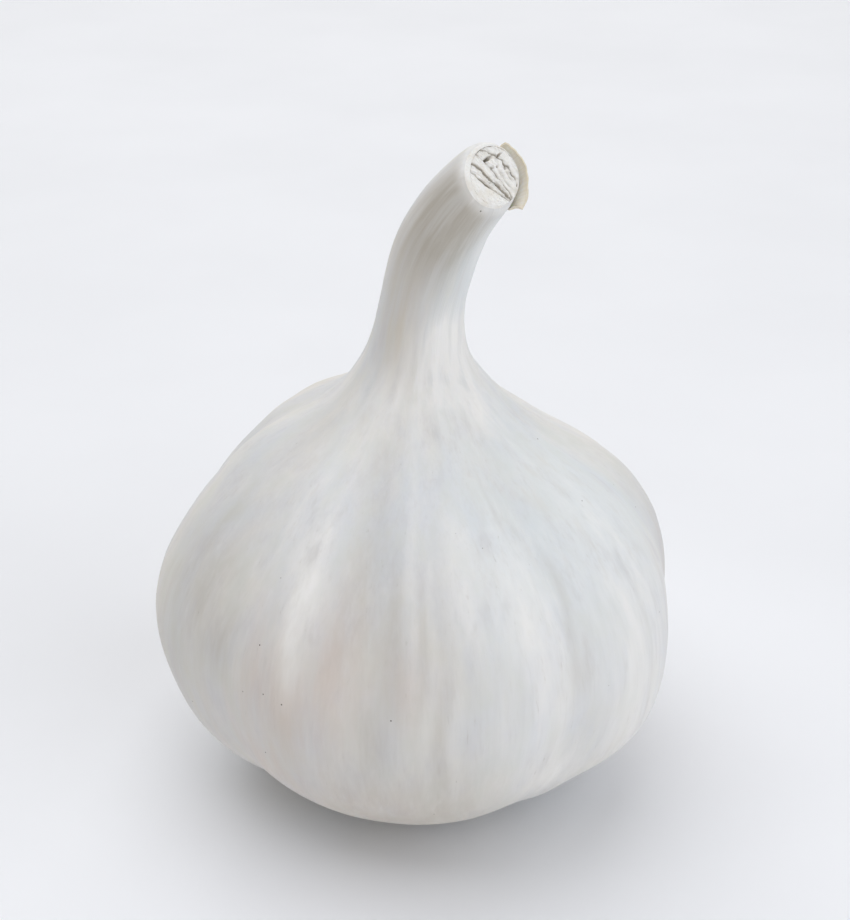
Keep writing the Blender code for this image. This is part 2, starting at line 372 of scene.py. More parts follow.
def strength(
    tree: bpy.types.NodeTree,
    pattern: bpy.types.NodeSocket,
    span: tuple[float, float, float, float],
    share: bpy.types.NodeSocket | None = None,
) -> bpy.types.NodeSocket:
    """Gives how strongly a pattern shows.

    Args:
        tree: The tree that the pattern is in.
        pattern: The pattern's value.
        span: Two of its values, and how strongly it shows at each and beyond it.
        share: What thins it from place to place.

    Returns:
        The strength.
    """
    shown = add_node(tree, "MapRange", (pattern, *span))["Result"]
    if share is None:
        return shown
    return add_node(tree, "Math", (shown, share), operation="MULTIPLY", use_clamp=True)["Value"]


def shaded(
    tree: bpy.types.NodeTree,
    colour: bpy.types.NodeSocket | str,
    shade: str,
    pattern: bpy.types.NodeSocket,
    span: tuple[float, float, float, float] = (0.0, 1.0, 0.0, 1.0),
    share: bpy.types.NodeSocket | None = None,
) -> bpy.types.NodeSocket:
    """Lays a shade over a colour, where a pattern shows.

    Args:
        tree: The tree that the colour is in.
        colour: The colour so far, or its hex value.
        shade: The shade's hex value.
        pattern: The pattern's value.
        span: Two of its values, and how much of the shade lies at each and beyond it.
        share: What thins the shade from place to place.

    Returns:
        The new colour.
    """
    under = linear(colour) if isinstance(colour, str) else colour
    layers = {0: strength(tree, pattern, span, share), 6: under, 7: linear(shade)}
    return add_node(tree, "Mix", layers, data_type="RGBA")[2]


@dataclass(frozen=True)
class PaperySkin:
    """Dry garlic skin: layers of thin, dead leaf over the cloves, ribbed by their veins.

    It is white with a little warmth where the layers are thick, satin rather than dull because
    the dried leaf is smooth, and finely streaked from root to neck along its fibres. Over it lie
    patches of painted shade, painted light and a painted cool cast of the light.
    """

    white: str = "#E9E8E4"
    cool: str = "#DEE1E4"
    lilac: str = "#D6D6DE"
    green: str = "#DEE1DA"
    # the pale of the streaks' lighter sides, and of the painted light on the lit ridge, the flare
    # and the right side
    pale_for_streaks_and_painted_light: str = "#F5F4F1"
    dash: str = "#A9A39A"
    # the grey of the streaks' darker sides, and of the painted shade on the neck's underside, in the
    # seams and valleys and low on the front
    grey_for_streaks_and_painted_shade: str = "#BDB7AC"
    straw: str = "#CDBFA9"
    blush: str = "#D3BDB0"
    # the painted cool cast of the light on the right side
    painted_cool_cast: str = "#D3DEE2"
    speck: str = "#4B3D31"
    vein: float = 1.1 * MM  # from one fine vein to the next where the bulb is widest
    fibre: float = 0.40 * MM
    speck_size: float = 0.085 * MM  # the radius of the largest dark fleck
    speck_spacing: float = 2.3 * MM

    def make(self) -> bpy.types.Material:
        """Makes the skin's material."""
        made, tree = new_finish("papery_skin")
        broad = streaks(tree, 9 * MM, 20 * MM, 2.0, 3.1)
        cloud = streaks(tree, 3.4 * MM, 6 * MM, 3.0, 5.5)
        middling = streaks(tree, 2.2 * MM, 15 * MM, 3.0, 7.7)
        fine = streaks(tree, self.vein, 10 * MM, 4.0, 12.9)
        hair = streaks(tree, self.fibre, 3.4 * MM, 3.0, 21.3)
        colour = shaded(tree, self.white, self.cool, broad, (0.38, 0.62, 0, 1))
        colour = shaded(tree, colour, self.lilac, cloud, (0.50, 0.70, 0, 0.32))
        colour = shaded(tree, colour, self.green, cloud, (0.50, 0.32, 0, 0.45))
        blotch = strength(tree, middling, (0.3, 0.7, 0.55, 1.4))
        # the warmth and the blush are the skin's own tones; the other three are painted shade,
        # painted light and a painted cool cast of the light
        for mark, shade in (
            (Mark.WARMTH, self.straw),
            (Mark.BLUSH, self.blush),
            (Mark.PAINTED_SHADE, self.grey_for_streaks_and_painted_shade),
            (Mark.COOL_LIGHT_CAST, self.painted_cool_cast),
            (Mark.PAINTED_LIGHT, self.pale_for_streaks_and_painted_light),
        ):
            patch = add_node(tree, "Attribute", attribute_name=mark.value)["Fac"]
            colour = shaded(tree, colour, shade, patch, share=blotch)
        calm = add_node(tree, "Attribute", attribute_name=Mark.CALM.value)["Fac"]
        streaky = strength(tree, calm, (0.0, 1.0, 1.0, 0.5))
        here = strength(tree, cloud, (0.38, 0.62, 0.35, 1.0), streaky)
        for pattern, depth in ((middling, 0.15), (fine, 0.13), (hair, 0.08)):
            colour = shaded(tree, colour, self.grey_for_streaks_and_painted_shade, pattern, (0.47, 0.30, 0, depth), here)
            colour = shaded(tree, colour, self.pale_for_streaks_and_painted_light, pattern, (0.53, 0.70, 0, depth), here)
        colour = shaded(tree, colour, self.dash, hair, (0.30, 0.24, 0, 0.30), here)
        colour = self.flecked(tree, colour)
        satin = {
            "Base Color": colour,
            "Roughness": strength(tree, fine, (0.3, 0.7, 0.50, 0.66)),
            "IOR": 1.45,
            "Specular IOR Level": 0.35,
            "Subsurface Weight": 0.12,
            "Subsurface Radius": (1.0, 0.82, 0.62),
            "Subsurface Scale": 1.2 * MM,
        }
        dress(tree, satin, ((fine, 0.4, 0.09 * MM), (hair, 0.5, 0.05 * MM)))
        return made

    def flecked(
        self, tree: bpy.types.NodeTree, colour: bpy.types.NodeSocket
    ) -> bpy.types.NodeSocket:
        """Adds the few dark flecks of soil and mould that dry skin always has.

        Args:
            tree: The skin's tree.
            colour: The skin's colour so far.

        Returns:
            The colour with its flecks.
        """
        place = add_node(tree, "TexCoord")["Object"]
        cells = add_node(tree, "TexVoronoi", {"Vector": place, "Scale": 1 / self.speck_spacing})
        pick = add_node(tree, "SeparateColor", {"Color": cells["Color"]})["Red"]
        chosen = strength(tree, pick, (0.72, 0.80, 0, 0.9))
        size = self.speck_size / self.speck_spacing
        rim = (size * 1.3, size * 0.7, 0, 1)
        return shaded(tree, colour, self.speck, cells["Distance"], rim, chosen)


@dataclass(frozen=True)
class CutSheath:
    """Leaf sheath cut across with a knife and dried: white and fibrous, cream in its folds."""

    white: str = "#FAF9F5"
    cream: str = "#ECE6DA"
    # painted shade: brown laid down in the slits, the holes and the socket, darker the deeper they
    # are
    brown: str = "#85775F"
    fibre: float = 0.20 * MM
    fold: float = 1.3 * MM

    def make(self) -> bpy.types.Material:
        """Makes the cut sheaths' material."""
        made, tree = new_finish("cut_sheath")
        fibres, folds = mottle(tree, self.fibre, 3.0), mottle(tree, self.fold, 2.0)
        hollow = add_node(tree, "Attribute", attribute_name=Mark.HOLLOW_SHADE.value)["Fac"]
        colour = shaded(tree, self.white, self.cream, folds, (0.45, 0.70, 0, 0.6))
        colour = shaded(tree, colour, self.cream, fibres, (0.52, 0.34, 0, 0.35))
        matt = {
            # painted shade in the slits, the holes and the socket
            "Base Color": shaded(tree, colour, self.brown, hollow),
            "Roughness": 0.75,
            "Subsurface Weight": 0.15,
            "Subsurface Radius": (1.0, 0.85, 0.65),
            "Subsurface Scale": 0.5 * MM,
        }
        dress(tree, matt, ((fibres, 0.8, 0.12 * MM),))
        return made


@dataclass(frozen=True)
class DrySheath:
    """An older leaf sheath, dried to straw: thin, yellower than the skin, browner at its edges."""

    pale: str = "#F7F4EC"
    straw: str = "#EAE3D1"
    brown: str = "#CDBC9A"
    fibre: float = 0.5 * MM

    def make(self) -> bpy.types.Material:
        """Makes the loose sheath's material."""
        made, tree = new_finish("dry_sheath")
        fibres = streaks(tree, self.fibre, 14 * MM, 3.0, 5.3)
        edge = add_node(tree, "Attribute", attribute_name=Mark.EDGE.value)["Fac"]
        colour = shaded(tree, self.pale, self.straw, fibres, (0.36, 0.66, 0, 0.75))
        satin = {
            "Base Color": shaded(tree, colour, self.brown, edge),
            "Roughness": 0.55,
            "Subsurface Weight": 0.2,
            "Subsurface Radius": (1.0, 0.8, 0.5),
            "Subsurface Scale": 0.5 * MM,
        }
        dress(tree, satin, ((fibres, 0.5, 0.08 * MM),))
        return made


@dataclass(frozen=True)
class CorkyPlate:
    """The root plate: compressed stem dried hard and corky, dull, with soil left in its pits."""

    cork: str = "#A48B66"
    pale: str = "#C9B78F"
    soil: str = "#54422F"
    pit: float = 0.7 * MM

    def make(self) -> bpy.types.Material:
        """Makes the root plate's material."""
        made, tree = new_finish("root_plate")
        lumps = mottle(tree, self.pit, 5.0)
        colour = shaded(tree, self.cork, self.pale, lumps, (0.38, 0.66, 0, 1))
        colour = shaded(tree, colour, self.soil, lumps, (0.46, 0.32, 0, 0.9))
        dress(tree, {"Base Color": colour, "Roughness": 0.9}, ((lumps, 0.8, 0.3 * MM),))
        return made


@dataclass(frozen=True)
class Worktop:
    """A pale, smooth, matt laminate worktop: the plain floor of the studio."""

    pale: str = "#F4F5F7"
    shade: str = "#F1F2F4"
    cloud: float = 60 * MM

    def make(self) -> bpy.types.Material:
        """Makes the floor's material."""
        made, tree = new_finish("worktop")
        clouds = mottle(tree, self.cloud, 3.0)
        colour = shaded(tree, self.pale, self.shade, clouds, (0.35, 0.65, 0, 1))
        dress(tree, {"Base Color": colour, "Roughness": 0.7, "Specular IOR Level": 0.25})
        return made


# -------------------------------------------------------------------------------- the bulb's form


@dataclass(frozen=True)
class Clove:
    """One clove's place under the skin.

    Args:
        seam: The angle, in degrees round the bulb, of the seam before it.
        fullness: How far its middle stands out, as a share of the common bulge.
    """

    seam: float
    fullness: float


@dataclass(frozen=True)
class Patch:
    """A soft patch on the skin, where its tone changes.

    Args:
        angle: Its middle round the bulb, in degrees.
        height: Its middle up the bulb, as a share of the height to the neck.
        width: Half its width, in degrees.
        reach: Half its height, as a share.
        strength: How strong it is at its middle.
    """

    angle: float
    height: float
    width: float
    reach: float
    strength: float

    def at(self, angle: np.ndarray, height: np.ndarray) -> np.ndarray:
        """Gives the patch's strength at angles round the bulb and shares of its height."""
        off = (np.degrees(angle) - self.angle + 180) % 360 - 180
        return self.strength * hump(off, 0, self.width) * hump(height, self.height, self.reach)


class Fold(Patch):
    """A soft ridge up the skin, as strong as it is high, or a valley where that is less than 0."""


@dataclass
class BulbForm:
    """The bulb's own sizes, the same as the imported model's, and where its skin lies.

    The outline runs from the hollow under the bulb, over the cloves and up the neck to the cut,
    by a share from 0 to 1. Above the bulb's top the height is measured along the neck.
    """

    radius: float = 30.0 * MM
    height: float = 50.0 * MM
    bulge: float = 1.5 * MM
    clearance: float = 0.8 * MM  # from the floor to the lowest of the cloves
    lip_height: float = 2.08 * MM  # where the skin turns in over the root plate
    hollow_radius: float = 8.9 * MM
    hollow_roof: float = 2.9 * MM
    neck_radius: float = 4.5 * MM
    neck_rise: float = 27.2 * MM
    neck_right: float = 7.4 * MM
    neck_forward: float = 8.5 * MM
    neck_reach: float = 10.1 * MM  # how far the end's own direction pulls the bend
    end_tilt: float = math.radians(45.7)
    end_turn: float = math.radians(62.0)
    cut_tilt: float = math.radians(59.0)
    cut_turn: float = math.radians(39.0)
    slant_from: float = 0.6  # the share of the neck above which its rings slant to the cut
    wall: float = 0.65 * MM
    cut_sag: tuple[float, float] = (-0.15 * MM, -0.42 * MM)  # across and up the cut
    socket_shift: tuple[float, float] = (0.25 * MM, -0.25 * MM)  # thins one side of the rim
    seam_softness: float = 3.2  # in degrees, how far the skin bridges the seams
    shoulder_shift: float = 1.2 * MM
    shoulder_at: tuple[float, float] = (0.87, 0.075)  # its middle and half its reach, in heights
    shoulder_cloves: tuple[Clove, ...] = (
        Clove(-105, 1.1),
        Clove(-46, 0.6),
        Clove(-11, 1.0),
        Clove(36, 1.0),
        Clove(88, 0.9),
        Clove(135, 1.0),
        Clove(190, 1.1),
    )
    foot_cloves: tuple[Clove, ...] = (
        Clove(-105, 1.0),
        Clove(-46, 0.95),
        Clove(36, 1.0),
        Clove(88, 0.9),
        Clove(135, 1.0),
        Clove(190, 1.1),
    )
    # radius and height along the outline, in the bulb's radii and heights
    belly: tuple[tuple[float, float], ...] = (
        (0.58, 0.060),
        (0.77, 0.140),
        (0.92, 0.260),
        (1.00, 0.430),
        (0.970, 0.570),
        (0.864, 0.690),
        (0.722, 0.785),
        (0.555, 0.865),
    )
    # the same along the neck, in its radii and in shares of its rise
    neck: tuple[tuple[float, float], ...] = (
        (2.55, -0.12),
        (1.80, 0.0),
        (1.25, 0.15),
        (1.03, 0.36),
        (1.00, 0.60),
        (0.89, 0.82),
        (0.80, 1.0),
    )

    @property
    def cut_height(self) -> float:
        """The height of the cut's middle, measured along the neck."""
        return self.height + self.neck_rise

    @property
    def cut_radius(self) -> float:
        """The neck's radius at the cut."""
        return self.neck_radius * self.neck[-1][0]

    def outline(self, share: np.ndarray) -> np.ndarray:
        """Gives the outline's radius and height at shares of its way up.

        Args:
            share: The shares, from 0 to 1.

        Returns:
            One row of radius and height for each.
        """
        foot = [
            (self.hollow_radius + 0.1 * MM, self.lip_height),
            (self.hollow_radius + 0.9 * MM, self.clearance + self.bulge * 0.6),
            (self.hollow_radius + 3.6 * MM, self.clearance + self.bulge * 0.5),
        ]
        belly = [(self.radius * r, self.height * h) for r, h in self.belly]
        neck = [(self.neck_radius * r, self.height + self.neck_rise * h) for r, h in self.neck]
        points = np.array(foot + belly + neck)
        knots = np.vstack([2 * points[0] - points[1], points, 2 * points[-1] - points[-2]])
        along = np.asarray(share, float) * (len(points) - 1)
        k = np.minimum(along.astype(int), len(points) - 2)
        t = (along - k)[..., None]
        a, b, c, d = (knots[k + i] for i in range(4))
        cubic = (3 * b - a - 3 * c + d) * t**3
        square = (2 * a - 5 * b + 4 * c - d) * t**2
        return 0.5 * (2 * b + (c - a) * t + square + cubic)

    def outward(self, share: np.ndarray) -> np.ndarray:
        """Gives the way the outline faces at shares of its way up, as rows of radius and height."""
        step = 0.002
        low, high = np.clip(share - step, 0, 1), np.clip(share + step, 0, 1)
        way = self.outline(high) - self.outline(low)
        out = np.stack([way[..., 1], -way[..., 0]], axis=-1)
        return out / np.linalg.norm(out, axis=-1, keepdims=True)

    def axis(self, height: np.ndarray) -> np.ndarray:
        """Gives the points of the bulb's axis and of its neck's bent centreline.

        Args:
            height: Their heights, measured along the neck above the bulb's top.

        Returns:
            One row of x, y and z for each.
        """
        height = np.asarray(height, float)
        share = ((height - self.height) / self.neck_rise)[..., None]
        start = np.array([0.0, 0.0, self.height])
        end = start + np.array([self.neck_right, -self.neck_forward, self.neck_rise])
        slant = slanting(self.end_tilt, self.end_turn)
        low = start + np.array([0.0, 0.0, self.neck_rise / 3])
        high = end - slant * self.neck_reach
        left = 1 - share
        bent = start * left**3 + low * 3 * left**2 * share + high * 3 * left * share**2
        bent = bent + end * share**3
        upright = np.stack([0 * height, 0 * height, height], axis=-1)
        beyond = end + slant * (share - 1) * self.neck_reach * 3
        return np.where(share <= 0, upright, np.where(share >= 1, beyond, bent))

    def slide_to_cut(self, offset: np.ndarray) -> np.ndarray:
        """Gives how far along the neck's end points off its centreline go to reach the cut."""
        normal = slanting(self.cut_tilt, self.cut_turn)
        return -(offset @ normal) / (slanting(self.end_tilt, self.end_turn) @ normal)

    def neck_point(self, angle: np.ndarray, radius: np.ndarray, height: np.ndarray) -> np.ndarray:
        """Gives points off the centreline, on rings that slant like the cut near the neck's end.

        Args:
            angle: Their angles round the bulb.
            radius: Their distances from the centreline.
            height: Their heights along it.

        Returns:
            One row of x, y and z for each, in the arrays' common shape.
        """
        angle, radius, height = np.broadcast_arrays(angle, radius, height)
        step = 0.05 * MM
        along = self.axis(height + step) - self.axis(height - step)
        along = along / np.linalg.norm(along, axis=-1, keepdims=True)
        level = round_bulb(angle) * radius[..., None]
        lean = np.sum(along[..., :2] * level[..., :2], axis=-1, keepdims=True)
        offset = level - along * lean * np.array([1.0, 1.0, 0.0]) / (1 + along[..., 2:])
        offset = offset - lean * np.array([0.0, 0.0, 1.0])
        share = (height - self.height) / self.neck_rise
        slant = ease((share - self.slant_from) / (1 - self.slant_from))
        offset = offset + self.sag * slant[..., None]
        slide = self.slide_to_cut(offset) * slant
        return self.axis(height) + offset + along * slide[..., None]

    @property
    def across_cut(self) -> tuple[np.ndarray, np.ndarray]:
        """The directions across and up the neck's end, as seen from in front of the cut."""
        along = slanting(self.end_tilt, self.end_turn)
        rise = np.array([0.0, 0.0, 1.0]) - along * along[2]
        rise = rise / np.linalg.norm(rise)
        return np.cross(rise, along), rise

    @property
    def sag(self) -> np.ndarray:
        """How far the neck's end has sagged from the plain form."""
        right, rise = self.across_cut
        return right * self.cut_sag[0] + rise * self.cut_sag[1]

    def at_cut(self, across: np.ndarray, up: np.ndarray, depth: np.ndarray) -> np.ndarray:
        """Gives points across and up the cut as seen from in front of it, at depths below it."""
        across, up, depth = np.broadcast_arrays(across, up, depth)
        along = slanting(self.end_tilt, self.end_turn)
        right, rise = self.across_cut
        offset = across[..., None] * right + up[..., None] * rise + self.sag
        slide = self.slide_to_cut(offset) - depth
        return self.axis(self.cut_height) + offset + slide[..., None] * along

    @property
    def polar_turn(self) -> float:
        """What turns an angle round the neck into the angle round the cut, as seen from in front."""
        end = self.neck_point(np.zeros(1), np.full(1, MM), np.full(1, self.cut_height))[0]
        middle = self.neck_point(np.zeros(1), np.zeros(1), np.full(1, self.cut_height))[0]
        along = slanting(self.end_tilt, self.end_turn)
        off = end - middle - along * ((end - middle) @ along)
        right, rise = self.across_cut
        return math.atan2(off @ rise, off @ right)

    @property
    def socket_radius(self) -> float:
        """The radius of the neck's socket at the cut."""
        return self.cut_radius - self.wall

    def socket_edge(self, polar: np.ndarray) -> np.ndarray:
        """Gives the edge of the socket at angles round the cut, as places across and up it."""
        return self.socket_radius * level_pair(polar) + np.array(self.socket_shift)

    def clove_height(self, angle: np.ndarray, cloves: tuple[Clove, ...]) -> np.ndarray:
        """Gives how far the skin stands out: 0 at a seam, 1 on the middle of a full clove.

        Args:
            angle: Angles round the bulb.
            cloves: The cloves, in order round it.

        Returns:
            One number for each angle.
        """
        seams = np.array([c.seam for c in cloves] + [cloves[0].seam + 360.0])
        full = np.array([c.fullness for c in cloves])
        total = np.zeros_like(angle)
        offsets = np.linspace(-2, 2, 9)
        weights = hump(offsets, 0, 1) / hump(offsets, 0, 1).sum()
        for offset, weight in zip(offsets, weights):
            degrees = np.degrees(angle) + offset * self.seam_softness
            degrees = (degrees - seams[0]) % 360 + seams[0]
            k = np.clip(np.searchsorted(seams, degrees, side="right") - 1, 0, len(cloves) - 1)
            half = (seams[k + 1] - seams[k]) / 2
            off = np.abs((degrees - seams[k] - half) / half)
            total += weight * full[k] * (1 - off**2.2)
        return total

    def lean_left(self, place: np.ndarray) -> np.ndarray:
        """Gives how far the shoulder leans to the left, at rings of the outline."""
        return self.shoulder_shift * hump(place[:, 1] / self.height, *self.shoulder_at)

    def straightened(self, angle: np.ndarray, place: np.ndarray) -> np.ndarray:
        """Gives angles that run straight up the skin where the shoulder leans to one side.

        Args:
            angle: The design's angles, along the second axis.
            place: The outline's radius and height at each ring.

        Returns:
            One row of angles for each ring.
        """
        shift = self.lean_left(place) / place[:, 0]
        return angle[None, :] - shift[:, None] * np.cos(angle)[None, :]

    def skin(self, angle: np.ndarray, share: np.ndarray, relief: np.ndarray) -> np.ndarray:
        """Gives points of the skin.

        Args:
            angle: Their angles round the bulb, along the second axis.
            share: Their shares of the outline, along the first axis.
            relief: How far each stands out of the plain form.

        Returns:
            Rows and columns of x, y and z.
        """
        place, out = self.outline(share), self.outward(share)
        # the cloves' bulges grow over the foot and fade out below the neck
        swell = self.bulge * ease(share / 0.14) * ease((0.75 - share) / 0.28)
        up = ease((place[:, 1] / self.height - 0.05) / 0.4)[:, None]
        foot = self.clove_height(angle, self.foot_cloves)[None, :]
        shoulder = self.clove_height(angle, self.shoulder_cloves)[None, :]
        lift = swell[:, None] * (foot + (shoulder - foot) * up - 0.6) + relief
        radius = place[:, :1] + out[:, :1] * lift
        points = self.neck_point(angle[None, :], radius, place[:, 1:])
        points[..., 0] -= self.lean_left(place)[:, None]
        points[..., 2] += out[:, 1:] * lift
        return points


# ------------------------------------------------------------------------------- sub-assemblies


@dataclass
class Skin:
    """The papery skin over the cloves, drawn up into the neck's outer sheath."""

    form: BulbForm
    sides: int = 384
    rings: int = 236
    veins: int = 78
    vein_height: float = 0.045 * MM
    vein_wander: Ripple = Ripple(11, (2, 6), 40 * MM)
    dent_depth: float = 0.20 * MM
    dents: Ripple = Ripple(5, (2, 6), 26 * MM)
    pucker_height: float = 0.10 * MM
    puckers: Ripple = Ripple(17, (9, 22), 16 * MM)
    rib_height: float = 0.05 * MM
    ribs: Ripple = Ripple(23, (4, 9), 60 * MM)
    crease_height: float = 0.02 * MM
    creases: Ripple = Ripple(31, (1, 5), 3.2 * MM)
    tone_wander: Ripple = Ripple(67, (3, 11), 12 * MM)
    socket_depth: float = 3.5 * MM
    rounding: float = 1.30 * MM  # how far from the cut the dried rim starts to round over
    rounding_in: float = 0.42 * MM
    rounded_share: float = 0.014
    rim_rings: int = 9
    folds: tuple[Fold, ...] = (
        Fold(-27.5, 0.71, 6.0, 0.18, 0.25 * MM),
        Fold(-13.5, 0.70, 6.5, 0.24, -0.30 * MM),
        Fold(0, 0.80, 3.5, 0.18, 0.14 * MM),
        Fold(30, 0.84, 2.6, 0.08, -0.22 * MM),
        Fold(36, 0.66, 3.0, 0.18, -0.28 * MM),
        Fold(35.5, 0.64, 1.3, 0.16, -0.13 * MM),
        Fold(33, 0.62, 1.4, 0.10, 0.10 * MM),
        Fold(-47, 0.74, 5.0, 0.16, -0.22 * MM),
        Fold(17, 0.42, 9.0, 0.25, 0.20 * MM),
        Fold(40, 0.30, 6.0, 0.20, -0.12 * MM),
        Fold(75, 0.48, 20.0, 0.10, -0.55 * MM),
        Fold(62, 0.26, 17.0, 0.11, 0.80 * MM),
        Fold(37, 0.12, 7.0, 0.09, 0.85 * MM),
        Fold(-90, 0.66, 18.0, 0.12, -0.55 * MM),
        Fold(112, 0.70, 3.0, 0.24, -0.28 * MM),
        Fold(163, 0.60, 4.0, 0.26, 0.30 * MM),
        Fold(232, 0.66, 3.0, 0.22, -0.26 * MM),
    )

    def build(self, finish: bpy.types.Material, cut: bpy.types.Material) -> bpy.types.Object:
        """Builds and dresses the skin.

        Args:
            finish: Its material.
            cut: The material of the rim that the knife left, and of the socket inside it.

        Returns:
            The piece.
        """
        angle = np.linspace(0, math.tau, self.sides, endpoint=False)
        near_cut = 1 - self.rounded_share * np.linspace(1, 0, self.rim_rings)
        share = np.linspace(0, near_cut[0], self.rings - self.rim_rings, endpoint=False)
        share = np.concatenate([share, near_cut])
        place = self.form.outline(share)
        steps = np.linalg.norm(np.diff(place, axis=0), axis=1)
        along = np.concatenate([[0], np.cumsum(steps)])
        turn = self.form.straightened(angle, place)
        relief = self.relief(turn, along, place[:, 1])
        to_cut = np.clip(1 - (along[-1] - along) / self.rounding, 0, 1)[:, None]
        relief = relief - self.rounding_in * (1 - np.sqrt(1 - to_cut**2))
        body = self.form.skin(angle, share, relief)
        under, socket = self.underside(angle), self.socket(angle, relief[-1])
        rings = np.concatenate([under, body, socket])
        points, faces = closed_tube(rings, rings[0].mean(axis=0), rings[-1].mean(axis=0))
        piece = add_piece("skin", points, faces, finish, ("bulb",))
        piece.data.materials.append(cut)
        first_cut = (len(under) + len(body) - 1) * self.sides
        on_cut = [int(min(face) >= first_cut) for face in faces]
        piece.data.polygons.foreach_set("material_index", on_cut)
        more = (len(under), len(socket))
        turn = np.pad(turn, (more, (0, 0)), mode="edge")
        run = np.pad(along, more, mode="edge")
        below = np.stack([-under[:, 0, 1], under[:, 0, 2]], axis=-1)
        place = np.concatenate([below, place, np.repeat(place[-1:], len(socket), axis=0)])
        self.tone(piece, turn, run, place, len(socket))
        return piece

    def relief(self, angle: np.ndarray, along: np.ndarray, height: np.ndarray) -> np.ndarray:
        """Gives how far the skin's veins, pleats and dents stand out.

        Args:
            angle: A row of angles round the bulb for each ring.
            along: Each ring's distance along the skin.
            height: Each ring's height.

        Returns:
            One row for each ring.
        """
        run, up = along[:, None], (height / self.form.height)[:, None]
        # where each kind of relief lies: off the foot, on the cloves, and on the neck to its end
        foot = ease(up / 0.12)
        belly = foot * ease((1.02 - up) / 0.2)
        neck = ease((up - 0.96) / 0.12)
        end = neck * ease((along[-1] - run) / (3 * MM))
        swayed = angle + 0.012 * self.vein_wander.at(angle, run)
        veins = self.vein_profile(swayed) * (0.35 + 0.65 * ease((up - 0.2) / 0.5))
        folds = sum(fold.at(swayed, up) for fold in self.folds)
        return (
            self.vein_height * veins * foot * (1 - 0.85 * neck)
            + self.dent_depth * self.dents.at(angle, run) * belly
            + self.pucker_height * self.puckers.at(angle, run) * hump(up, 0.97, 0.16)
            + self.rib_height * self.ribs.at(angle, run) * end
            + self.crease_height * self.creases.at(angle, run) * end
            + folds * foot
        )

    def vein_profile(self, angle: np.ndarray) -> np.ndarray:
        """Gives the height of the veins round the bulb: narrow ridges, unevenly spaced."""
        rng = np.random.default_rng(41)
        fine = np.linspace(0, math.tau, 4096, endpoint=False)
        spacing = math.tau / self.veins
        middles = np.arange(self.veins) * spacing + rng.uniform(-0.35, 0.35, self.veins) * spacing
        heights = rng.uniform(0.25, 1.0, self.veins)
        widths = rng.uniform(0.16, 0.30, self.veins) * spacing
        total = np.zeros_like(fine)
        for middle, height, width in zip(middles, heights, widths):
            off = (fine - middle + math.pi) % math.tau - math.pi
            total += height * hump(off, 0, width)
        return np.interp(angle % math.tau, fine, total, period=math.tau)

    def underside(self, angle: np.ndarray) -> np.ndarray:
        """Gives the rings of the hollow under the bulb, from its middle to its rim."""
        ring = round_bulb(angle) * self.form.hollow_radius
        roof = np.array([0.0, 0.0, self.form.hollow_roof])
        return np.array([ring * share + roof for share in (0.3, 0.65, 1.0)])

    def socket(self, angle: np.ndarray, relief: np.ndarray) -> np.ndarray:
        """Gives the rings over the cut rim of the outer sheath and down inside it.

        Args:
            angle: The angles round the neck.
            relief: How far the skin stands out at its last ring.

        Returns:
            One row of points for each ring.
        """
        form = self.form
        polar = angle + form.polar_turn
        wavy = 0.05 * MM * Ripple(53, (3, 9), 1.0).at(polar, 0 * polar)
        outer = (form.cut_radius + relief)[:, None] * level_pair(polar)
        inner = form.socket_edge(polar)
        profile = (
            (0.08, -0.05),
            (0.20, -0.09),
            (0.40, -0.13),
            (0.66, -0.14),
            (0.90, -0.13),
            (0.985, -0.11),
            (1.0, 0.0),
            (1.0, 0.9),
            (1.0, self.socket_depth / MM),
        )
        rings = []
        for share, depth in profile:
            place = outer + (inner - outer) * share
            lift = depth * MM + wavy * (1 - share)
            rings.append(form.at_cut(place[:, 0], place[:, 1], lift))
        return np.array(rings)

    def tone(
        self,
        piece: bpy.types.Object,
        turn: np.ndarray,
        run: np.ndarray,
        place: np.ndarray,
        cut_rings: int,
    ) -> None:
        """Keeps the layout of the grain, the skin's tones and its painted shade and light with its
        points.

        Args:
            piece: The skin.
            turn: A row of angles round the bulb for each ring.
            run: Each ring's distance along the skin.
            place: Each ring's radius and height.
            cut_rings: How many of the last rings are on the cut.
        """
        up = (place[:, 1] / self.form.height)[:, None]
        swayed = turn + 0.016 * self.tone_wander.at(turn, run[:, None])
        for mark, patches in TONES.items():
            values = np.clip(sum(patch.at(swayed, up) for patch in patches), 0, 1)
            # on the rings of the cut, the painted light is set to 0.7 and the other tones to 0
            values[-cut_rings:] = 0.7 if mark is Mark.PAINTED_LIGHT else 0.0
            keep_rings(piece, mark, values)
        calm = np.zeros_like(turn) + ease((up - 0.85) / 0.22)
        calm[-cut_rings:] = 1.0
        keep_rings(piece, Mark.CALM, calm)
        # painted shade down in the socket, on its last three rings
        hollow = np.zeros_like(turn)
        hollow[-3:] = 1.0
        keep_rings(piece, Mark.HOLLOW_SHADE, hollow)
        grain = round_bulb(turn) * np.sqrt(self.form.radius * place[:, 0])[:, None, None]
        grain[..., 2] = run[:, None]
        keep_rings(piece, Mark.GRAIN, grain)


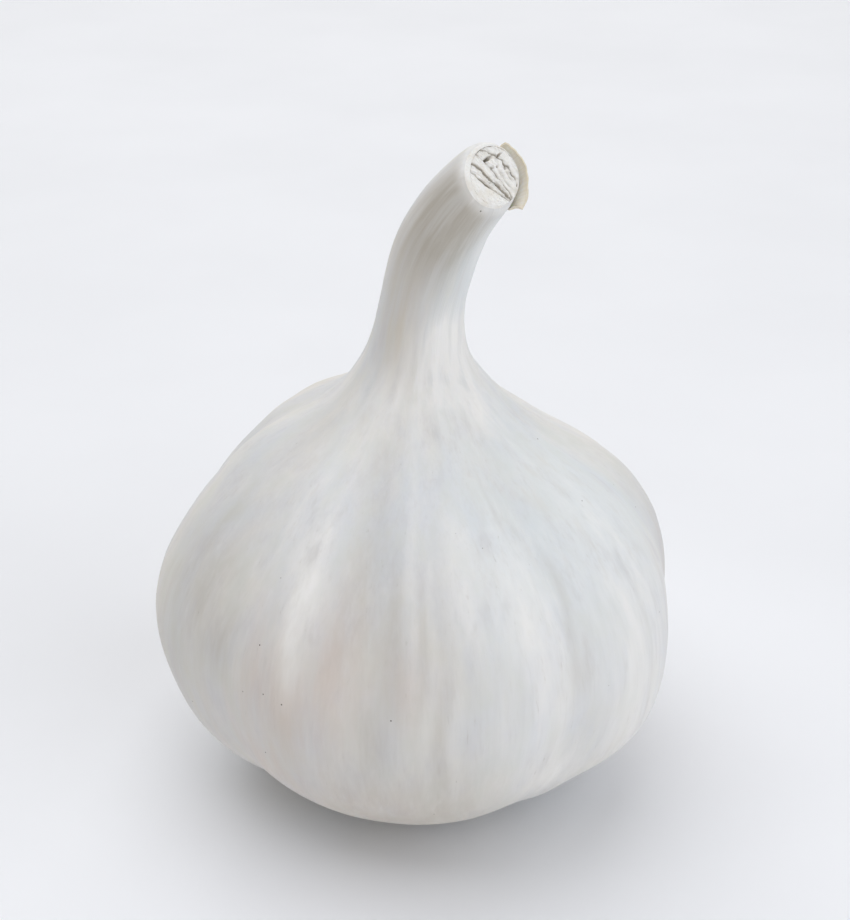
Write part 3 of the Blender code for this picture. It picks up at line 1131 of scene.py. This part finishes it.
TONES: dict[Mark, tuple[Patch, ...]] = {
    Mark.WARMTH: (
        Patch(-34, 1.34, 60, 0.18, 0.34),
        Patch(-60, 0.35, 30, 0.35, 0.18),
        Patch(-27, 0.60, 6, 0.18, 0.25),
        Patch(-5, 1.06, 16, 0.04, 0.25),
        Patch(-34, 1.15, 28, 0.09, 0.36),
        Patch(5, 0.66, 9, 0.16, 0.30),
        Patch(38, 0.25, 10, 0.10, 0.20),
        Patch(-31, 0.52, 8, 0.12, 0.10),
        Patch(0, 0.16, 40, 0.14, 0.22),
        Patch(150, 0.60, 50, 0.35, 0.30),
        Patch(210, 0.90, 40, 0.20, 0.25),
    ),
    Mark.BLUSH: (
        Patch(-36, 0.29, 16, 0.13, 0.30),
        Patch(-34, 0.56, 9, 0.14, 0.30),
        Patch(-20, 0.50, 9, 0.12, 0.30),
        Patch(-17, 0.64, 6, 0.10, 0.35),
        Patch(-4, 0.58, 5, 0.10, 0.28),
        Patch(-8, 0.20, 16, 0.12, 0.22),
        Patch(215, 0.45, 26, 0.25, 0.35),
        Patch(95, 0.35, 20, 0.22, 0.25),
    ),
    # painted shade: the neck's down-facing underside, the seam grooves, the valleys, the left side
    # and the lower front; the patches at 100, 170 and 255 degrees, on the back, are plain tone
    Mark.PAINTED_SHADE: (
        Patch(-14, 0.74, 6, 0.16, 0.40),
        Patch(-16, 0.30, 5, 0.14, 0.16),
        Patch(-64, 0.72, 2.6, 0.08, 0.20),
        Patch(-56, 0.64, 2.8, 0.08, 0.20),
        Patch(-48, 0.55, 4.5, 0.08, 0.28),
        Patch(-9, 0.44, 5, 0.10, 0.32),
        Patch(7, 0.33, 9, 0.12, 0.22),
        Patch(10, 1.40, 25, 0.08, 0.28),
        Patch(-54, 0.66, 12, 0.18, 0.28),
        Patch(2, 0.22, 26, 0.14, 0.26),
        Patch(-4, 1.47, 60, 0.13, 0.95),
        Patch(-36, 1.47, 38, 0.16, 0.60),
        Patch(-66, 1.00, 12, 0.08, 0.35),
        Patch(-5, 0.66, 2.2, 0.12, 0.34),
        Patch(0.8, 0.62, 1.2, 0.14, 0.26),
        Patch(5, 0.44, 2.4, 0.14, 0.28),
        Patch(-20, 0.92, 7, 0.06, 0.30),
        Patch(-60, 0.95, 10, 0.07, 0.30),
        Patch(-72, 0.45, 14, 0.40, 0.25),
        Patch(29, 0.85, 2.2, 0.06, 0.40),
        Patch(33.5, 0.79, 1.5, 0.05, 0.45),
        Patch(36.6, 0.69, 1.3, 0.09, 0.60),
        Patch(35.5, 0.54, 3.0, 0.06, 0.45),
        Patch(41, 0.40, 6, 0.08, 0.15),
        Patch(100, 0.50, 8, 0.30, 0.30),
        Patch(170, 0.70, 12, 0.25, 0.30),
        Patch(255, 0.60, 10, 0.30, 0.30),
    ),
    # painted cool cast of the light that falls on the right side of the bulb and neck
    Mark.COOL_LIGHT_CAST: (
        Patch(62, 0.80, 26, 0.18, 0.60),
        Patch(46, 0.62, 16, 0.20, 0.15),
        Patch(24, 0.80, 13, 0.18, 0.42),
        Patch(52, 1.34, 40, 0.16, 0.45),
    ),
    # painted light: the lit ridge at -29 degrees, the flare under the neck and the lit right side of
    # the bulb and neck; the band at the cut rim is partly the rim's own paler colour; the patches at
    # 120, 190 and 300 degrees, on the back, are plain tone
    Mark.PAINTED_LIGHT: (
        Patch(-29, 0.74, 5.0, 0.13, 0.85),
        Patch(-25, 0.60, 3.6, 0.09, 0.50),
        Patch(12, 1.04, 60, 0.08, 0.60),
        Patch(16, 1.10, 9, 0.07, 0.60),
        Patch(48, 1.02, 14, 0.07, 0.65),
        Patch(26, 0.64, 10, 0.24, 0.65),
        Patch(26, 1.16, 38, 0.08, 0.65),
        Patch(58, 1.40, 18, 0.12, 0.45),
        Patch(44, 1.13, 36, 0.08, 0.85),
        Patch(35, 0.24, 11, 0.10, 0.60),
        Patch(11, 0.74, 5, 0.14, 0.45),
        Patch(-40, 0.82, 7, 0.08, 0.45),
        Patch(-1.5, 0.74, 1.8, 0.14, 0.46),
        Patch(2, 0.50, 1.6, 0.10, 0.30),
        Patch(3, 0.70, 1.2, 0.12, 0.30),
        Patch(8, 0.48, 1.6, 0.18, 0.30),
        Patch(0, 1.545, 400, 0.014, 0.60),
        Patch(58, 0.58, 18, 0.35, 0.65),
        Patch(120, 0.60, 12, 0.30, 0.35),
        Patch(190, 0.95, 60, 0.10, 0.40),
        Patch(300, 0.98, 20, 0.08, 0.35),
    ),
}


@dataclass(frozen=True)
class Pit:
    """A small hole in a cut end.

    Args:
        along: Its middle along the sheaths, in shares of the socket's radius.
        across: Its middle across them, in the same shares.
        length: Half its length, in the same shares.
        width: Half its width.
        turn: How far, in degrees, it is turned from lying along the sheaths.
        depth: How deep it is.
    """

    along: float
    across: float
    length: float
    width: float
    turn: float
    depth: float

    def at(self, along: np.ndarray, across: np.ndarray) -> np.ndarray:
        """Gives how far down the hole reaches at places, as a share of its depth."""
        cos, sin = math.cos(math.radians(self.turn)), math.sin(math.radians(self.turn))
        x, y = along - self.along, across - self.across
        off = ((x * cos + y * sin) / self.length) ** 2 + ((y * cos - x * sin) / self.width) ** 2
        return np.exp(-(off**2))


@dataclass(frozen=True)
class Line:
    """The line between two sheaths across the cut, in shares of the socket's radius.

    Args:
        middle: Its place across the sheaths at the middle of the cut.
        slope: How fast it rises along them.
        bow: How much it is bowed.
        slits: Where it gapes: each slit's middle, half its length and its width.
    """

    middle: float
    slope: float
    bow: float
    slits: tuple[tuple[float, float, float], ...] = ()

    def at(self, along: np.ndarray) -> np.ndarray:
        """Gives the line's place across the sheaths, at places along them."""
        wander = 0.02 * Ripple(int(1000 * abs(self.middle)), (2, 9), 1.0).at(along * 2, 0 * along)
        return self.middle + self.slope * along + self.bow * along**2 + wander

    def half_gap(self, along: np.ndarray) -> np.ndarray:
        """Gives half the gap at the line, at places along it."""
        return 0.006 + sum(0.5 * w * np.exp(-(((along - m) / r) ** 4)) for m, r, w in self.slits)


@dataclass(frozen=True)
class SheathEnd:
    """One inner sheath's cut end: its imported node, its height, its roughness and its holes."""

    node: str
    proud: float
    rough: float = 1.0
    pits: tuple[Pit, ...] = ()


@dataclass
class CutSheaths:
    """The inner sheaths and the core that fill the neck, pressed flat and cut across."""

    form: BulbForm
    lean: float = math.radians(-63.0)
    lines: tuple[Line, ...] = (
        Line(-0.44, 0.03, 0.07, ((-0.22, 0.30, 0.066), (0.66, 0.16, 0.030))),
        Line(-0.19, -0.09, -0.04, ((-0.45, 0.14, 0.014), (0.38, 0.24, 0.018))),
        Line(0.07, -0.22, -0.10, ((-0.10, 0.14, 0.020), (0.55, 0.16, 0.016))),
        Line(0.64, -0.08, -0.34, ((-0.20, 0.12, 0.018), (0.42, 0.22, 0.020))),
    )
    gap: float = 0.006 * MM
    depth: float = 3.2 * MM
    line_rounding: float = 0.13 * MM
    wall_rounding: float = 0.07 * MM
    lump_height: float = 0.03 * MM
    fibre_height: float = 0.05 * MM
    # how deep a hole must be for its painted shade to be at its darkest
    full_shade_depth: float = 0.5 * MM  # how deep a hole is before it looks as dark as it can
    rows: int = 30
    columns: int = 120
    ends: tuple[SheathEnd, ...] = (
        SheathEnd("front_sheath", 0.13 * MM, 0.6),
        SheathEnd("second_sheath", 0.02 * MM, 1.1, (Pit(-0.1, -0.30, 0.16, 0.02, 2, 0.2 * MM),)),
        SheathEnd("third_sheath", 0.16 * MM, 1.2, (Pit(0.30, -0.16, 0.30, 0.02, -8, 0.2 * MM),)),
        SheathEnd(
            "neck_core",
            0.10 * MM,
            1.3,
            (
                Pit(-0.52, 0.32, 0.25, 0.055, 64, 1.4 * MM),
                Pit(-0.26, 0.12, 0.15, 0.050, 66, 1.2 * MM),
                Pit(0.16, 0.56, 0.12, 0.045, -40, 0.5 * MM),
                Pit(0.22, 0.24, 0.20, 0.08, -15, 0.14 * MM),
                Pit(0.55, 0.10, 0.22, 0.03, -16, 0.2 * MM),
                Pit(0.50, 0.34, 0.20, 0.025, -24, 0.2 * MM),
                Pit(-0.05, 0.36, 0.05, 0.05, 0, 0.3 * MM),
            ),
        ),
        SheathEnd("back_sheath", 0.10 * MM, 0.8, (Pit(-0.17, 0.75, 0.12, 0.035, 63, 0.4 * MM),)),
    )

    def build(self, finish: bpy.types.Material) -> None:
        """Builds and dresses every inner sheath's end."""
        for k, end in enumerate(self.ends):
            self.sheath_end(k, end, finish)

    def band(self, k: int, along: np.ndarray) -> tuple[np.ndarray, np.ndarray]:
        """Gives a sheath's lower and upper edge, in shares of the socket's radius.

        Args:
            k: Which sheath it is, from the front.
            along: Places along the sheaths.

        Returns:
            The two edges' places across them.
        """
        inset = 1 - self.gap / self.form.socket_radius
        edge = np.sqrt(np.clip(inset**2 - along**2, 0, None))
        low, high = -edge, edge
        if k > 0:
            line = self.lines[k - 1]
            low = np.maximum(low, line.at(along) + line.half_gap(along))
        if k < len(self.lines):
            line = self.lines[k]
            high = np.minimum(high, line.at(along) - line.half_gap(along))
        return low, high

    def spread(self, k: int) -> tuple[np.ndarray, np.ndarray, np.ndarray]:
        """Spreads a grid over one sheath's end.

        Args:
            k: Which sheath it is, from the front.

        Returns:
            The grid's places along and across the sheaths, and how far each is from a line.
        """
        fine = np.linspace(-1, 1, 2001)
        low, high = self.band(k, fine)
        inside = fine[high - low > 0.01]
        middle, half = (inside[0] + inside[-1]) / 2, (inside[-1] - inside[0]) / 2
        along = middle + half * np.sin(np.linspace(-1, 1, self.columns) * math.pi / 2)
        low, high = self.band(k, along)
        x = np.broadcast_to(along, (self.rows, self.columns))
        y = low + (high - low) * np.linspace(0, 1, self.rows)[:, None]
        before = math.inf if k == 0 else y - low
        after = math.inf if k == len(self.lines) else high - y
        return x, y, np.minimum(before, after)

    def sheath_end(self, k: int, end: SheathEnd, finish: bpy.types.Material) -> None:
        """Builds one inner sheath's end: its fibrous top, rounded at its edges, and its holes.

        Args:
            k: Which sheath it is, from the front.
            end: Its name, height and holes.
            finish: Its material.
        """
        x, y, off_line = self.spread(k)
        off_wall = 1 - np.hypot(x, y)
        free = float(k > 0)  # the front sheath has grown to the socket's wall
        top = end.proud - self.line_rounding * np.exp(-off_line / 0.03)
        top = top - free * self.wall_rounding * np.exp(-off_wall / 0.02)
        lumps = Ripple(60 + k, (2, 14), 0.22, 30).at(x * 1.5, y)
        fibres = Ripple(80 + k, (0, 7), 0.055, 30).at(x, y + 0.05 * lumps)
        top = top + end.rough * (self.lump_height * lumps + self.fibre_height * fibres)
        # painted shade: darker along the lines between the sheaths, at the socket's wall and down in
        # the holes
        hollow = 0.7 * np.exp(-off_line / 0.02) + free * 0.2 * np.exp(-off_wall / 0.02)
        for pit in end.pits:
            reach = pit.at(x + 0.02 * lumps, y)
            top = top - pit.depth * reach
            hollow = np.maximum(hollow, reach * min(1, pit.depth / self.full_shade_depth))
        radius, shift = self.form.socket_radius, self.form.socket_shift
        cos, sin = math.cos(self.lean), math.sin(self.lean)
        right = (x * cos - y * sin) * radius + shift[0]
        rise = (x * sin + y * cos) * radius + shift[1]
        front = self.form.at_cut(right, rise, -top)
        back = self.form.at_cut(right, rise, np.full_like(x, self.depth))
        points, faces = slab(front, back)
        piece = add_piece(f"{end.node}_end", points, faces, finish, (end.node,))
        keep(piece, Mark.HOLLOW_SHADE, np.concatenate([hollow.ravel(), np.ones(hollow.size)]))


@dataclass
class LooseSheath:
    """The torn strip of an older sheath that stands off the right and the back of the cut."""

    form: BulbForm
    wall: float = 0.28 * MM
    gap: float = 0.16 * MM
    proud: float = 0.35 * MM
    flare: float = 0.9 * MM
    down: float = 0.12  # how far down the neck it is kept, as a share of the neck
    start: float = math.radians(79.0)
    stop: float = math.radians(180.0)
    columns: int = 150
    rows: int = 26

    def build(self, finish: bpy.types.Material) -> bpy.types.Object:
        """Builds and dresses the strip.

        Args:
            finish: Its material.

        Returns:
            The piece.
        """
        share = np.linspace(0, 1, self.columns)[None, :]
        rise = np.linspace(0, 1, self.rows)[:, None]
        middle = np.sin(np.pi * share) ** 0.6
        angle = self.start + (self.stop - self.start) * share + 0 * rise
        torn = 0.05 * MM * Ripple(71, (5, 26), 1.0).at(angle, 0 * angle)
        end = self.form.cut_height
        bottom = end - self.form.neck_rise * self.down * (0.2 + 0.8 * middle) - torn
        top = end + self.proud * middle + torn
        height = bottom + (top - bottom) * rise
        (low, low_share), (high, high_share) = self.form.neck[-2:]
        slope = (high - low) / (high_share - low_share)
        along = (height - self.form.height) / self.form.neck_rise
        neck = self.form.neck_radius * np.maximum(high + slope * (along - high_share), high)
        curl = self.flare * rise**2 * (1 - share) ** 2
        wavy = 0.06 * MM * Ripple(73, (4, 14), 4 * MM).at(angle, height)
        radius = neck + self.gap + curl + wavy * rise
        thick = self.wall * (0.55 + 0.45 * np.minimum(1, 6 * np.minimum(rise, 1 - rise)))
        inner = self.form.neck_point(angle, radius, height)
        outer = self.form.neck_point(angle, radius + thick, height)
        points, faces = slab(outer, inner)
        piece = add_piece("loose_strip", points, faces, finish, ("loose_sheath",))
        level = round_bulb(angle) * self.form.radius
        level[..., 2] = height
        keep(piece, Mark.GRAIN, np.concatenate([level.reshape(-1, 3)] * 2))
        near = np.minimum(np.minimum(share, 1 - share) * 6, np.minimum(rise, 1 - rise) * 5)
        edge = np.clip(1 - near, 0, 1) ** 2 * 0.5
        keep(piece, Mark.EDGE, np.concatenate([edge.ravel()] * 2))
        return piece


@dataclass
class RootPlate:
    """The corky plate under the bulb and the stubs of its trimmed roots."""

    radius: float = 8.55 * MM
    flat_radius: float = 6.4 * MM
    thickness: float = 2.6 * MM
    slope_height: float = 1.17 * MM
    inset: float = 0.6 * MM  # the top's edge from the widest place
    lumps: Ripple = Ripple(90, (3, 30), 3 * MM, 40)
    lump_out: float = 0.12 * MM
    lump_up: float = 0.10 * MM
    sides: int = 160
    stub_radius: float = 0.42 * MM
    stub_rows: tuple[tuple[float, int], ...] = ((6.9 * MM, 34), (7.5 * MM, 38), (8.0 * MM, 42))
    stub_bend: float = 0.15 * MM
    stub_sunk: float = 0.35 * MM
    stub_rings: int = 5
    stub_sides: int = 8

    def build(self, finish: bpy.types.Material) -> None:
        """Builds and dresses the plate and its roots."""
        self.plate(finish)
        self.roots(finish)

    def on_slope(self, share: float) -> tuple[float, float]:
        """Gives the radius and the height at a share of the way up the slanted edge."""
        radius = self.flat_radius + (self.radius - self.flat_radius) * share
        return radius, self.slope_height * share

    def plate(self, finish: bpy.types.Material) -> None:
        """Builds the plate, flat where it rests and rough on its slanted edge."""
        angle = np.linspace(0, math.tau, self.sides, endpoint=False)
        profile = [(share * self.flat_radius, 0.0) for share in np.linspace(0.08, 1, 12)]
        profile += [self.on_slope(share) for share in np.linspace(0, 1, 12)[1:]]
        profile += [(self.radius, self.thickness * 0.8), (self.radius - self.inset, self.thickness)]
        rings = []
        for radius, height in profile:
            lumps = 1 + self.lumps.at(angle, np.full_like(angle, radius))
            worn = self.lump_out * lumps if 0 < height < self.thickness else 0 * lumps
            ring = round_bulb(angle) * (radius - worn)[:, None]
            ring[:, 2] = height + (self.lump_up * lumps if height > 0 else 0)
            rings.append(ring)
        points, faces = closed_tube(np.array(rings), np.zeros(3), np.array([0, 0, self.thickness]))
        add_piece("root_disc", points, faces, finish, ("root_plate",))

    def roots(self, finish: bpy.types.Material) -> None:
        """Builds the stubs of the roots, leaning out all round the plate."""
        rng = np.random.default_rng(7)
        stubs = []
        for seat, count in self.stub_rows:
            for i in range(count):
                angle = math.tau * (i + rng.uniform(-0.35, 0.35)) / count
                stubs.append(self.stub(rng, seat, angle))
        faces: list[tuple[int, ...]] = []
        size = self.stub_rings * self.stub_sides
        for first in range(0, len(stubs) * size, size):
            sleeve = tube_faces(self.stub_rings, self.stub_sides, first)
            faces += [tuple(reversed(face)) for face in sleeve]
            faces.append(tuple(range(first, first + self.stub_sides)))
            faces.append(tuple(range(first + size - 1, first + size - 1 - self.stub_sides, -1)))
        add_piece("root_stubs", np.concatenate(stubs), faces, finish)

    def stub(self, rng: np.random.Generator, seat: float, angle: float) -> np.ndarray:
        """Shapes one root's stub, which stops short of the floor.

        Args:
            rng: What its lean, thickness and length are drawn from.
            seat: How far from the plate's middle it grows.
            angle: Where round the bulb it grows.

        Returns:
            Its points, ring by ring from its base.
        """
        out = round_bulb(angle)
        lift = (seat - self.flat_radius) / (self.radius - self.flat_radius)
        base = out * (seat - self.stub_sunk)
        base[2] = self.slope_height * lift + self.stub_sunk
        lean = rng.uniform(0.4, 1.5)
        side = round_bulb(angle + math.pi / 2) * rng.uniform(-0.3, 0.3)
        way = out * lean + side + np.array([0, 0, -1.0])
        way = way / np.linalg.norm(way)
        thick = self.stub_radius * rng.uniform(0.55, 1.0)
        longest = (base[2] - thick) / -way[2]
        length = min(rng.uniform(0.9, 2.6) * MM, longest)
        across = np.cross(way, [0, 0, 1.0])
        across = across / np.linalg.norm(across)
        turns = np.linspace(0, math.tau, self.stub_sides, endpoint=False)
        circle = level_pair(turns) @ np.array([across, np.cross(way, across)])
        rings = []
        for t in np.linspace(0, 1, self.stub_rings):
            middle = base + way * length * t + out * self.stub_bend * t * t
            wide = thick * (1 - 0.25 * t) * (0.75 if t == 1 else 1)
            rings.append(middle + circle * wide)
        return np.concatenate(rings)


@dataclass(frozen=True)
class Lamp:
    """A square soft light: its name, its place, the length of its side, its watts and colour."""

    name: str
    place: tuple[float, float, float]
    side: float
    watts: float
    colour: str


@dataclass
class Studio:
    """The plain pale floor, the soft lights and the camera."""

    floor_radius: float = 1.9
    floor_sides: int = 96
    elevation: float = math.radians(27.5)
    distance: float = 200 * MM
    aim: tuple[float, float, float] = (0.87 * MM, 0.0, 40.15 * MM)
    lens: float = 68.5  # on a 36 mm sensor
    room: str = "#FFFAF3"
    wall_light: float = 0.72
    ceiling_light: float = 0.20
    lamps: tuple[Lamp, ...] = (
        Lamp("overhead", (-0.32, 0.10, 1.45), 1.6, 15.2, "#F8FAFF"),
        Lamp("front_right", (1.12, -0.68, 0.98), 1.9, 12.2, "#F2F6FF"),
        Lamp("behind", (0.0, 1.38, 0.88), 1.25, 4.4, "#FFFFFF"),
    )
    lit: tuple[float, float, float] = (0.0, 0.0, 30 * MM)  # where the lamps point

    def build(self, finish: bpy.types.Material) -> None:
        """Builds the floor, the room's light, the lamps and the camera."""
        self.floor(finish)
        self.walls()
        for lamp in self.lamps:
            self.hang(lamp)
        self.camera()

    def floor(self, finish: bpy.types.Material) -> None:
        """Lays the floor under the bulb."""
        mesh = bpy.data.meshes.new("floor")
        ring = round_bulb(np.linspace(0, math.tau, self.floor_sides, endpoint=False))
        points = [tuple(point) for point in ring * self.floor_radius]
        mesh.from_pydata(points, [], [tuple(range(self.floor_sides))])
        mesh.materials.append(finish)
        floor = bpy.data.objects.new("floor", mesh)
        bpy.context.scene.collection.objects.link(floor)

    def walls(self) -> None:
        """Lights the pale room: its walls more than its ceiling."""
        world = bpy.data.worlds.new("room")
        world.use_nodes = True
        bpy.context.scene.world = world
        tree = world.node_tree
        way = add_node(tree, "TexCoord")["Generated"]
        up = add_node(tree, "SeparateXYZ", {"Vector": way})["Z"]
        light = strength(tree, up, (0.1, 0.45, self.wall_light, self.ceiling_light))
        plug(tree, tree.nodes["Background"], {"Color": linear(self.room), "Strength": light})

    def hang(self, lamp: Lamp) -> None:
        """Hangs one lamp, facing the bulb."""
        data = bpy.data.lights.new(lamp.name, "AREA")
        data.shape = "SQUARE"
        data.size = lamp.side
        data.energy = lamp.watts
        data.color = linear(lamp.colour)[:3]
        hung = bpy.data.objects.new(lamp.name, data)
        hung.location = lamp.place
        way = Vector(self.lit) - Vector(lamp.place)
        hung.rotation_euler = way.to_track_quat("-Z", "Y").to_euler()
        bpy.context.scene.collection.objects.link(hung)

    def camera(self) -> None:
        """Sets the camera in front of the bulb, looking down at it."""
        data = bpy.data.cameras.new("camera")
        data.lens = self.lens
        data.sensor_width = 36.0
        data.clip_start = 0.01
        camera = bpy.data.objects.new("camera", data)
        out = Vector((0, -math.cos(self.elevation), math.sin(self.elevation)))
        camera.location = Vector(self.aim) + out * self.distance
        camera.rotation_euler = (math.pi / 2 - self.elevation, 0, 0)
        bpy.context.scene.collection.objects.link(camera)
        bpy.context.scene.camera = camera


def main() -> None:
    """Builds every part of the bulb in order, and the studio round it."""
    logging.basicConfig(level=logging.INFO, format="%(name)s: %(message)s")
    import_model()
    bpy.context.scene.view_settings.view_transform = "Standard"
    form = BulbForm()
    cut = CutSheath().make()
    Skin(form).build(PaperySkin().make(), cut)
    CutSheaths(form).build(cut)
    LooseSheath(form).build(DrySheath().make())
    RootPlate().build(CorkyPlate().make())
    Studio().build(Worktop().make())


if __name__ == "__main__":
    main()
